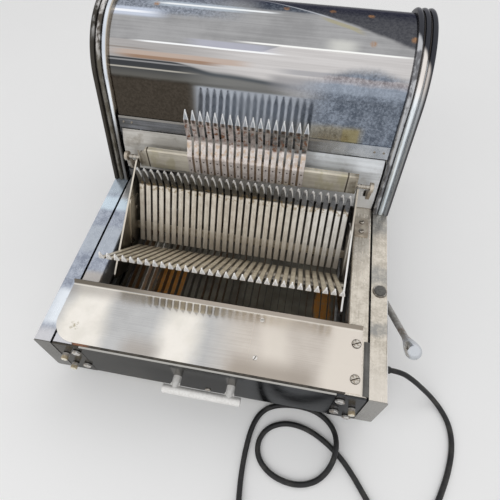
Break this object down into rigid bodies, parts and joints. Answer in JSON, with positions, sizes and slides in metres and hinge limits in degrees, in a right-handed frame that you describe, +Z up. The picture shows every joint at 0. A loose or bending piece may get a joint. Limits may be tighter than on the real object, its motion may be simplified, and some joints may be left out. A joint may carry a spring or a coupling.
{
  "type": "bread slicer",
  "caption": "Bench bread slicer: a loaf trough of two combs over sliding blades, a hold-down comb, a hinged rear hood, a crumb drawer and a side lever.",
  "frame": {"origin": "on the floor under the middle of the machine's box, cord and plug left out", "axes": "+X to the operator's right, +Y to the rear, away from the operator, +Z up"},
  "size_m": [0.6979, 0.9105, 0.4326],
  "materials": {
    "polished_stainless": "polished",
    "chrome_trim": "polished",
    "satin_stainless": "satin",
    "dark_stainless": "polished",
    "comb_aluminium": "satin",
    "cast_aluminium": "matte",
    "zinc_steel": "satin",
    "brass": "satin",
    "blade_steel": "satin",
    "grey_paint": "satin",
    "black_rubber": "matte",
    "dark_plastic": "matte"
  },
  "bodies": {
    "casing": {"left_side_frame": "polished_stainless", "right_side_frame": "satin_stainless", "left_cover": "polished_stainless", "right_cover": "satin_stainless", "rear_panel": "satin_stainless", "rear_beam": "zinc_steel", "front_rail": "zinc_steel", "front_plates": "dark_stainless", "front_bolts": "zinc_steel", "feet": "black_rubber", "front_shelf": "polished_stainless", "shelf_strip": "cast_aluminium", "deck_bracket": "satin_stainless", "deck_screws": "zinc_steel", "button_bezel": "dark_plastic", "back_plate": "satin_stainless", "pivot_lugs": "zinc_steel", "pivot_pins": "zinc_steel", "shaft_bushes": "brass", "frame_guide_blocks": "dark_plastic", "crank_bearings": "cast_aluminium", "motor_bridge": "zinc_steel", "motor_body": "grey_paint", "drive_belt": "black_rubber", "hinge_base_leaves": "satin_stainless", "hinge_pins": "zinc_steel", "cord_gland": "dark_plastic", "power_cord": "black_rubber", "mains_plug": "black_rubber"},
    "hood": {"hood_sheet": "polished_stainless", "hood_strip": "satin_stainless", "strip_rivets": "zinc_steel", "hood_trims": "chrome_trim", "hood_cheeks": "satin_stainless", "hinge_hood_leaves": "satin_stainless"},
    "hold_down": {"hold_down_bar": "satin_stainless", "hold_down_fingers": "comb_aluminium", "hold_down_rivets": "zinc_steel"},
    "trough": {"back_comb": "comb_aluminium", "front_comb": "comb_aluminium", "comb_crossbars": "zinc_steel", "end_plates": "zinc_steel", "end_guides": "satin_stainless", "guide_rivets": "zinc_steel", "trough_shaft": "zinc_steel", "hand_lever": "cast_aluminium"},
    "drawer": {"drawer_front": "dark_stainless", "crumb_tray": "dark_stainless", "pull_handle": "cast_aluminium", "drawer_screw": "brass"},
    "button": {"start_button": "dark_plastic"},
    "outer_blades": {"blades_outer": "blade_steel", "blade_frame_outer": "zinc_steel"},
    "inner_blades": {"blades_inner": "blade_steel", "blade_frame_inner": "zinc_steel"},
    "crank": {"crank_shaft": "zinc_steel", "crank_pulley": "cast_aluminium"},
    "outer_rod": {"rod_outer": "cast_aluminium"},
    "inner_rod": {"rod_inner": "cast_aluminium"},
    "motor_rotor": {"motor_pulley": "cast_aluminium"}
  },
  "joints": [
    {"name": "hood_hinge", "type": "hinge", "parent": "casing", "child": "hood", "pos_m": [0, 0.33425, 0.1345], "axis": [-1, 0, 0], "range_deg": [0, 75]},
    {"name": "hold_down_swing", "type": "hinge", "parent": "casing", "child": "hold_down", "pos_m": [0, 0.04325, 0.21], "axis": [1, 0, 0], "range_deg": [0, 60]},
    {"name": "trough_tilt", "type": "hinge", "parent": "casing", "child": "trough", "pos_m": [0, -0.08175, 0.054], "axis": [1, 0, 0], "range_deg": [0, 16]},
    {"name": "drawer_slide", "type": "slide", "parent": "casing", "child": "drawer", "axis": [0, -1, 0], "range_m": [0, 0.26]},
    {"name": "button_push", "type": "slide", "parent": "casing", "child": "button", "axis": [0, 0, -1], "range_m": [0, 0.003], "stiffness_N_per_m": 400, "springref_m": -0.001},
    {"name": "outer_stroke", "type": "slide", "parent": "casing", "child": "outer_blades", "axis": [0, 1, 0], "range_m": [-0.0125, 0.0125]},
    {"name": "inner_stroke", "type": "slide", "parent": "casing", "child": "inner_blades", "axis": [0, 1, 0], "range_m": [-0.0125, 0.0125]},
    {"name": "crank_turn", "type": "hinge", "parent": "casing", "child": "crank", "pos_m": [0, 0.25025, 0.114], "axis": [1, 0, 0], "continuous": true},
    {"name": "outer_rod_level", "type": "hinge", "parent": "crank", "child": "outer_rod", "pos_m": [0, 0.25025, 0.1265], "axis": [1, 0, 0], "continuous": true},
    {"name": "inner_rod_level", "type": "hinge", "parent": "crank", "child": "inner_rod", "pos_m": [0, 0.25025, 0.1015], "axis": [1, 0, 0], "continuous": true},
    {"name": "motor_turn", "type": "hinge", "parent": "casing", "child": "motor_rotor", "pos_m": [0, 0.25025, 0.232], "axis": [1, 0, 0], "continuous": true}
  ],
  "couplings": [
    {"joint": "inner_stroke", "follows": "outer_stroke", "ratio": -1},
    {"joint": "outer_rod_level", "follows": "crank_turn", "ratio": -1},
    {"joint": "inner_rod_level", "follows": "crank_turn", "ratio": -1},
    {"joint": "motor_turn", "follows": "crank_turn", "ratio": 2.5}
  ]
}
